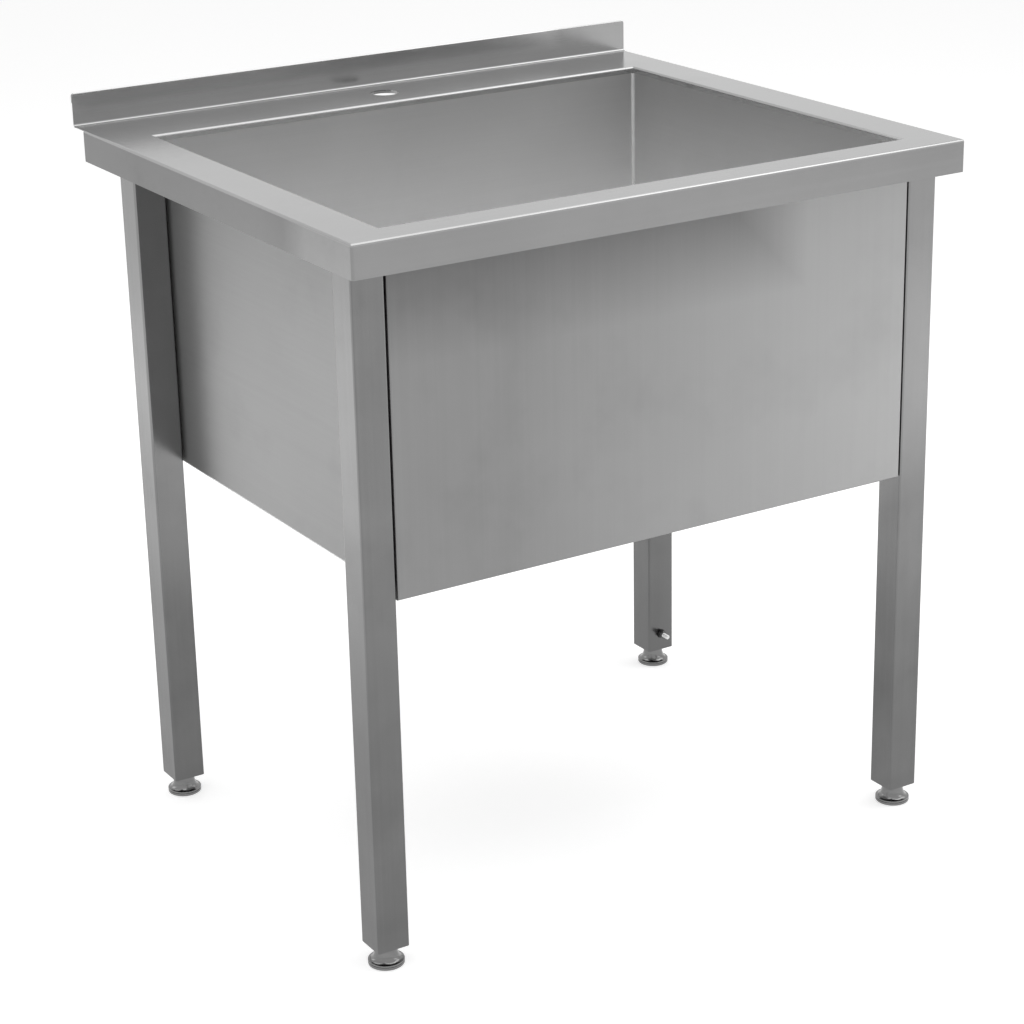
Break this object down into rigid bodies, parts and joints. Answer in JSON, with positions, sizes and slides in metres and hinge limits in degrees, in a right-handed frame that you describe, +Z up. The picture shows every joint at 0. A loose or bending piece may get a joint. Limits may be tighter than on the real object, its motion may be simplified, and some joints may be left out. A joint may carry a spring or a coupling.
{
  "type": "utility laundry sink",
  "caption": "Free-standing steel laundry sink: one deep welded bowl in a folded worktop with a low upstand, on square legs with levelling feet.",
  "frame": {"origin": "on the floor under the middle of the sink", "axes": "+X to the right seen from the front, +Y towards the wall, +Z up"},
  "size_m": [0.8, 0.7, 0.89],
  "materials": {
    "worktop_steel": "fine brushed along the width",
    "bowl_steel": "satin brushed upright, welded corners",
    "panel_steel": "satin brushed sheet",
    "plain_steel": "dull mill finish",
    "leg_steel": "satin tube, grain along its length",
    "foot_steel": "turned",
    "screw_steel": "bright",
    "dark_zinc": "dark passivated zinc",
    "polished_steel": "polished",
    "black_rubber": "matt",
    "black_plastic": "moulded nylon",
    "waste_plastic": "moulded polypropylene"
  },
  "bodies": {
    "frame": {"worktop": "worktop_steel", "rear_ledge": "worktop_steel", "upstand": "worktop_steel", "tap_plate": "plain_steel", "rear_rail": "plain_steel", "bowl_wrap": "bowl_steel", "bowl_end_left": "bowl_steel", "bowl_end_right": "bowl_steel", "front_panel": "panel_steel", "leg_screws": "screw_steel", "waste_strainer": "polished_steel", "waste_gasket_top": "black_rubber", "waste_gasket_bottom": "black_rubber", "waste_body": "waste_plastic", "waste_screw": "screw_steel", "earth_bolt": "screw_steel", "earth_washer": "dark_zinc", "earth_nut": "dark_zinc", "leg_front_left": "leg_steel", "leg_socket_front_left": "plain_steel", "foot_insert_front_left": "black_plastic", "leg_front_right": "leg_steel", "leg_socket_front_right": "plain_steel", "foot_insert_front_right": "black_plastic", "leg_rear_left": "leg_steel", "leg_socket_rear_left": "plain_steel", "foot_insert_rear_left": "black_plastic", "leg_rear_right": "leg_steel", "leg_socket_rear_right": "plain_steel", "foot_insert_rear_right": "black_plastic"},
    "foot_pad_front_left": {"foot_pad_front_left": "foot_steel"},
    "foot_spindle_front_left": {"foot_spindle_front_left": "screw_steel"},
    "foot_pad_front_right": {"foot_pad_front_right": "foot_steel"},
    "foot_spindle_front_right": {"foot_spindle_front_right": "screw_steel"},
    "foot_pad_rear_left": {"foot_pad_rear_left": "foot_steel"},
    "foot_spindle_rear_left": {"foot_spindle_rear_left": "screw_steel"},
    "foot_pad_rear_right": {"foot_pad_rear_right": "foot_steel"},
    "foot_spindle_rear_right": {"foot_spindle_rear_right": "screw_steel"}
  },
  "joints": [
    {"name": "foot_lift_front_left", "type": "slide", "parent": "frame", "child": "foot_pad_front_left", "axis": [0, 0, -1], "range_m": [0, 0.03]},
    {"name": "foot_turn_front_left", "type": "hinge", "parent": "foot_pad_front_left", "child": "foot_spindle_front_left", "pos_m": [-0.366, -0.298, 0.045], "axis": [0, 0, -1], "range_deg": [0, 6172]},
    {"name": "foot_lift_front_right", "type": "slide", "parent": "frame", "child": "foot_pad_front_right", "axis": [0, 0, -1], "range_m": [0, 0.03]},
    {"name": "foot_turn_front_right", "type": "hinge", "parent": "foot_pad_front_right", "child": "foot_spindle_front_right", "pos_m": [0.366, -0.298, 0.045], "axis": [0, 0, -1], "range_deg": [0, 6172]},
    {"name": "foot_lift_rear_left", "type": "slide", "parent": "frame", "child": "foot_pad_rear_left", "axis": [0, 0, -1], "range_m": [0, 0.03]},
    {"name": "foot_turn_rear_left", "type": "hinge", "parent": "foot_pad_rear_left", "child": "foot_spindle_rear_left", "pos_m": [-0.366, 0.232, 0.045], "axis": [0, 0, -1], "range_deg": [0, 6172]},
    {"name": "foot_lift_rear_right", "type": "slide", "parent": "frame", "child": "foot_pad_rear_right", "axis": [0, 0, -1], "range_m": [0, 0.03]},
    {"name": "foot_turn_rear_right", "type": "hinge", "parent": "foot_pad_rear_right", "child": "foot_spindle_rear_right", "pos_m": [0.366, 0.232, 0.045], "axis": [0, 0, -1], "range_deg": [0, 6172]}
  ],
  "couplings": [
    {"joint": "foot_turn_front_left", "follows": "foot_lift_front_left", "rad_per_m": 3590.4},
    {"joint": "foot_turn_front_right", "follows": "foot_lift_front_right", "rad_per_m": 3590.4},
    {"joint": "foot_turn_rear_left", "follows": "foot_lift_rear_left", "rad_per_m": 3590.4},
    {"joint": "foot_turn_rear_right", "follows": "foot_lift_rear_right", "rad_per_m": 3590.4}
  ]
}
